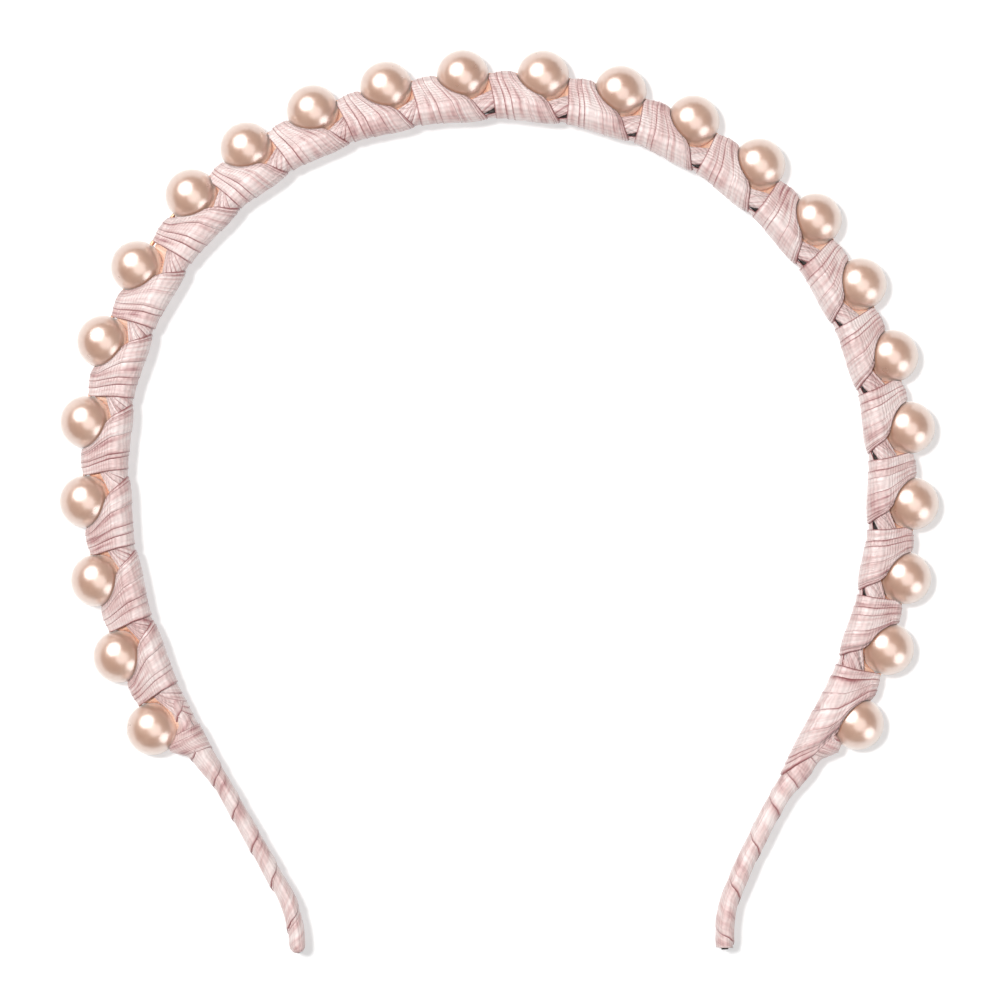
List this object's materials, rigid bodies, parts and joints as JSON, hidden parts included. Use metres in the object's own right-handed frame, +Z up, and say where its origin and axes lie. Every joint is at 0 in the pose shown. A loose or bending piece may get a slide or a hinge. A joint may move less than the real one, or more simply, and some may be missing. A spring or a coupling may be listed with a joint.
{
  "type": "headband",
  "caption": "Open C-shaped alice band of flat spring steel wrapped in satin ribbon, with pearls strung along its outer edge and bare wrapped legs.",
  "frame": {"origin": "on the surface that the band lies on, under the middle of its outline", "axes": "+Y towards the crown, so the two tips point to -Y; +X to the right seen from above with the crown away from the viewer; +Z up, across the band's width"},
  "size_m": [0.1336, 0.1368, 0.0082],
  "materials": {
    "pearl": "champagne pearl lustre",
    "satin_ribbon": "ribbed satin, pale pink",
    "spring_steel": "dark drawn strip",
    "bead_wire": "drawn wire"
  },
  "bodies": {
    "crown": {"pearl_09": "pearl", "pearl_10": "pearl", "pearl_11": "pearl", "pearl_12": "pearl", "pearl_13": "pearl", "pearl_14": "pearl", "pearl_15": "pearl", "pearl_16": "pearl", "ribbon_turns_09": "satin_ribbon", "ribbon_turns_10": "satin_ribbon", "ribbon_turns_11": "satin_ribbon", "ribbon_turns_12": "satin_ribbon", "ribbon_turns_13": "satin_ribbon", "ribbon_turns_14": "satin_ribbon", "ribbon_turns_15": "satin_ribbon", "core_crown": "spring_steel", "wire_crown": "bead_wire"},
    "left_shoulder": {"pearl_05": "pearl", "pearl_06": "pearl", "pearl_07": "pearl", "pearl_08": "pearl", "ribbon_turns_05": "satin_ribbon", "ribbon_turns_06": "satin_ribbon", "ribbon_turns_07": "satin_ribbon", "ribbon_turns_08": "satin_ribbon", "core_left_shoulder": "spring_steel", "wire_left_shoulder": "bead_wire"},
    "left_leg": {"pearl_01": "pearl", "pearl_02": "pearl", "pearl_03": "pearl", "pearl_04": "pearl", "ribbon_turns_01": "satin_ribbon", "ribbon_turns_02": "satin_ribbon", "ribbon_turns_03": "satin_ribbon", "ribbon_turns_04": "satin_ribbon", "left_leg_wrap": "satin_ribbon", "core_left_leg": "spring_steel", "wire_left_leg": "bead_wire"},
    "right_shoulder": {"pearl_17": "pearl", "pearl_18": "pearl", "pearl_19": "pearl", "pearl_20": "pearl", "ribbon_turns_16": "satin_ribbon", "ribbon_turns_17": "satin_ribbon", "ribbon_turns_18": "satin_ribbon", "ribbon_turns_19": "satin_ribbon", "core_right_shoulder": "spring_steel", "wire_right_shoulder": "bead_wire"},
    "right_leg": {"pearl_21": "pearl", "pearl_22": "pearl", "pearl_23": "pearl", "pearl_24": "pearl", "ribbon_turns_20": "satin_ribbon", "ribbon_turns_21": "satin_ribbon", "ribbon_turns_22": "satin_ribbon", "ribbon_turns_23": "satin_ribbon", "right_leg_wrap": "satin_ribbon", "core_right_leg": "spring_steel", "wire_right_leg": "bead_wire"}
  },
  "joints": [
    {"name": "left_flex", "type": "hinge", "parent": "crown", "child": "left_shoulder", "pos_m": [-0.03843, 0.05344, 0.0041], "axis": [0, 0, -1], "range_deg": [-2, 15], "stiffness_Nm_per_rad": 1.3},
    {"name": "left_lower_flex", "type": "hinge", "parent": "left_shoulder", "child": "left_leg", "pos_m": [-0.06276, 0.01184, 0.0041], "axis": [0, 0, -1], "range_deg": [-1.2, 9], "stiffness_Nm_per_rad": 1.2},
    {"name": "right_flex", "type": "hinge", "parent": "crown", "child": "right_shoulder", "pos_m": [0.0395, 0.05097, 0.0041], "axis": [0, 0, 1], "range_deg": [-2, 15], "stiffness_Nm_per_rad": 1.3},
    {"name": "right_lower_flex", "type": "hinge", "parent": "right_shoulder", "child": "right_leg", "pos_m": [0.06226, 0.01099, 0.0041], "axis": [0, 0, 1], "range_deg": [-1.2, 9], "stiffness_Nm_per_rad": 1.2}
  ],
  "couplings": [
    {"joint": "left_lower_flex", "follows": "left_flex", "ratio": 0.6},
    {"joint": "right_lower_flex", "follows": "right_flex", "ratio": 0.6}
  ]
}
